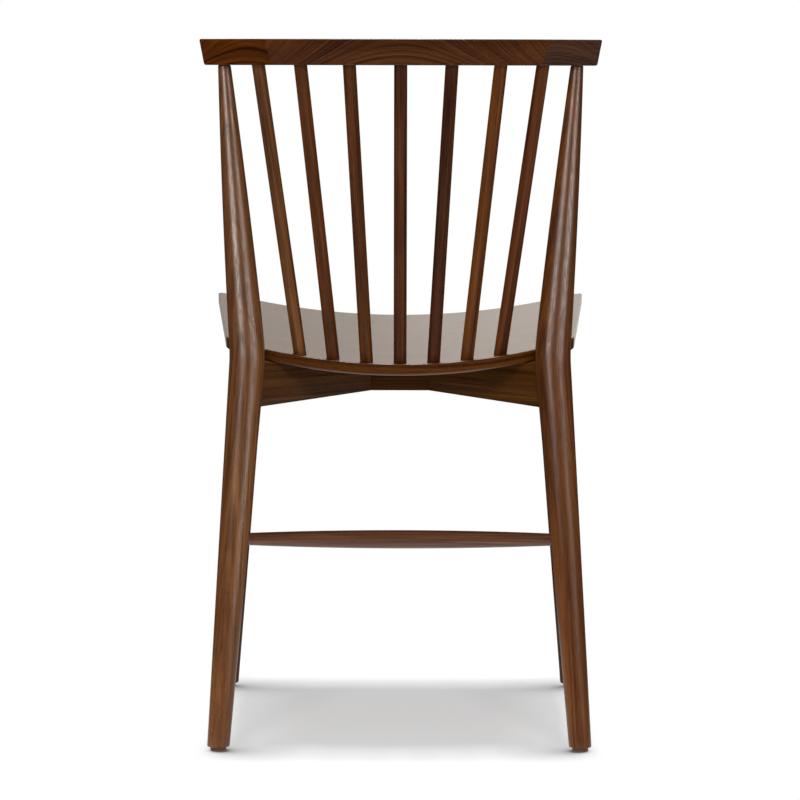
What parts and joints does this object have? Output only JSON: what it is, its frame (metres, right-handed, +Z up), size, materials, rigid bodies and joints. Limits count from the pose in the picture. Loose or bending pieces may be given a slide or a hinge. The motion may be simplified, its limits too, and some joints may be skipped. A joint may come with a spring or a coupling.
{
  "type": "spindle back dining chair",
  "caption": "Walnut dining chair with a spindle back, a curved crest rail, a dished seat on a crossed frame, bent rear legs and round stretchers.",
  "frame": {"origin": "middle of the chair's bounding box, on the floor under the glides", "axes": "+Z up, the sitter faces -Y, +X is the sitter's left"},
  "size_m": [0.4464, 0.526, 0.79],
  "materials": {
    "seat_walnut": "satin clear lacquer",
    "crest_middle_walnut": "satin clear lacquer",
    "crest_end_walnut": "satin clear lacquer",
    "loose_tenon_beech": "raw",
    "spindle_walnut": "satin clear lacquer",
    "leg_walnut": "satin clear lacquer",
    "frame_walnut": "satin clear lacquer",
    "stretcher_walnut": "satin clear lacquer",
    "glide_plastic": "moulded, brown",
    "zinc_steel": "zinc plated"
  },
  "bodies": {
    "root": {"seat": "seat_walnut", "crest_center": "crest_middle_walnut", "crest_left_end": "crest_end_walnut", "crest_right_end": "crest_end_walnut", "crest_loose_tenons": "loose_tenon_beech", "spindle_1": "spindle_walnut", "spindle_2": "spindle_walnut", "spindle_3": "spindle_walnut", "spindle_4": "spindle_walnut", "spindle_5": "spindle_walnut", "spindle_6": "spindle_walnut", "spindle_7": "spindle_walnut", "rear_leg_left": "leg_walnut", "rear_leg_right": "leg_walnut", "front_leg_left": "leg_walnut", "front_leg_right": "leg_walnut", "diagonal_rail_left": "frame_walnut", "diagonal_rail_right": "frame_walnut", "rear_glue_block": "frame_walnut", "front_glue_block": "frame_walnut", "side_stretcher_left": "stretcher_walnut", "side_stretcher_right": "stretcher_walnut", "medial_stretcher": "stretcher_walnut", "seat_screws": "zinc_steel", "glide_rear_left": "glide_plastic", "glide_rear_right": "glide_plastic", "glide_front_left": "glide_plastic", "glide_front_right": "glide_plastic", "glide_nails": "zinc_steel"}
  },
  "joints": []
}
